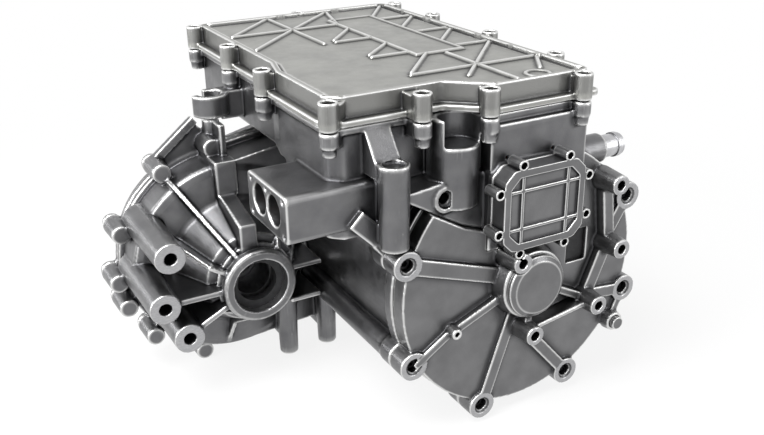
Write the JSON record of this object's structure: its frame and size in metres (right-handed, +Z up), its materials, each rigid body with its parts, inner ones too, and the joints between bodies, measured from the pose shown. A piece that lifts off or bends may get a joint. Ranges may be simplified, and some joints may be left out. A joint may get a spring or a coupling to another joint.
{
  "type": "electric drive unit",
  "caption": "Electric drive unit: a motor with an inverter tub on top and a two-stage reduction gearbox with differential beside it, in ribbed cast housings.",
  "frame": {"origin": "on the output axis, at the outer face of the near output ring", "axes": "+Y runs along the output axis, from the motor's bolted end cover towards the gearbox's far cover; +Z is up, towards the inverter's lid; +X runs from the output axis towards the motor"},
  "size_m": [0.422, 0.3815, 0.3003],
  "materials": {
    "cast_housing": "bare sand-blasted cast aluminium",
    "cast_cover": "bare cast aluminium",
    "cast_lid": "bare cast aluminium, warm grey",
    "machined": "machined aluminium",
    "steel": "turned and ground steel",
    "gear_steel": "case-hardened steel, ground teeth",
    "screw_steel": "blackened steel",
    "lamination": "stacked electrical steel",
    "copper": "enamelled or bare copper",
    "magnet": "coated sintered magnet",
    "rubber_black": "black sealing rubber",
    "seal_grey": "grey sealing sheet",
    "plastic_black": "black moulded plastic",
    "board_green": "green circuit board"
  },
  "bodies": {
    "housing": {"end_cover": "cast_cover", "resolver_cap": "cast_cover", "blanking_plug": "machined", "sensor_connector": "plastic_black", "end_cover_seal": "rubber_black", "inverter_lid": "cast_lid", "lid_seal": "seal_grey", "access_cover": "cast_cover", "access_seal": "seal_grey", "motor_housing": "cast_housing", "hv_contacts": "plastic_black", "coolant_stubs": "machined", "gearbox_housing": "cast_housing", "gearbox_cover": "cast_housing", "gearbox_seal": "seal_grey", "stator_core": "lamination", "stator_windings": "copper", "resolver_stator": "copper", "shaft_seal": "rubber_black", "motor_bearing_outer_rings": "steel", "pinion_bearing_outer_rings": "steel", "countershaft_bearing_outer_rings": "steel", "differential_bearing_outer_rings": "steel", "output_seals": "rubber_black", "power_module": "plastic_black", "dc_link_capacitor": "plastic_black", "control_board": "board_green", "phase_busbars": "copper", "lid_screws": "screw_steel", "access_screws": "screw_steel", "end_cover_screws": "screw_steel", "gearbox_screws": "screw_steel", "motor_flange_screws": "screw_steel", "locating_dowels": "steel", "drain_plug": "steel", "fill_plug": "steel", "breather": "plastic_black"},
    "rotor": {"motor_shaft": "steel", "rotor_core": "lamination", "rotor_magnets": "magnet", "rotor_end_plates": "machined", "resolver_rotor": "lamination", "input_pinion": "gear_steel", "motor_bearing_inner_rings": "steel", "motor_bearing_balls": "steel", "pinion_bearing_inner_rings": "steel", "pinion_bearing_balls": "steel"},
    "countershaft": {"countershaft": "steel", "countershaft_gear": "gear_steel", "countershaft_pinion": "gear_steel", "countershaft_bearing_inner_rings": "steel", "countershaft_bearing_balls": "steel"},
    "differential": {"differential_case": "gear_steel", "final_drive_gear": "gear_steel", "ring_gear_screws": "screw_steel", "differential_pin": "steel", "side_gears": "gear_steel", "spider_gears": "gear_steel", "differential_bearing_inner_rings": "steel", "differential_bearing_balls": "steel"}
  },
  "joints": [
    {"name": "differential_spin", "type": "hinge", "parent": "housing", "child": "differential", "pos_m": [0, 0.091, 0], "axis": [0, 1, 0], "continuous": true},
    {"name": "countershaft_spin", "type": "hinge", "parent": "housing", "child": "countershaft", "pos_m": [0.10606, 0.112, 0.02404], "axis": [0, 1, 0], "continuous": true},
    {"name": "rotor_spin", "type": "hinge", "parent": "housing", "child": "rotor", "pos_m": [0.182, -0.028, 0.021], "axis": [0, 1, 0], "continuous": true}
  ],
  "couplings": [
    {"joint": "countershaft_spin", "follows": "differential_spin", "ratio": -3.5789},
    {"joint": "rotor_spin", "follows": "differential_spin", "ratio": 8.7847}
  ]
}
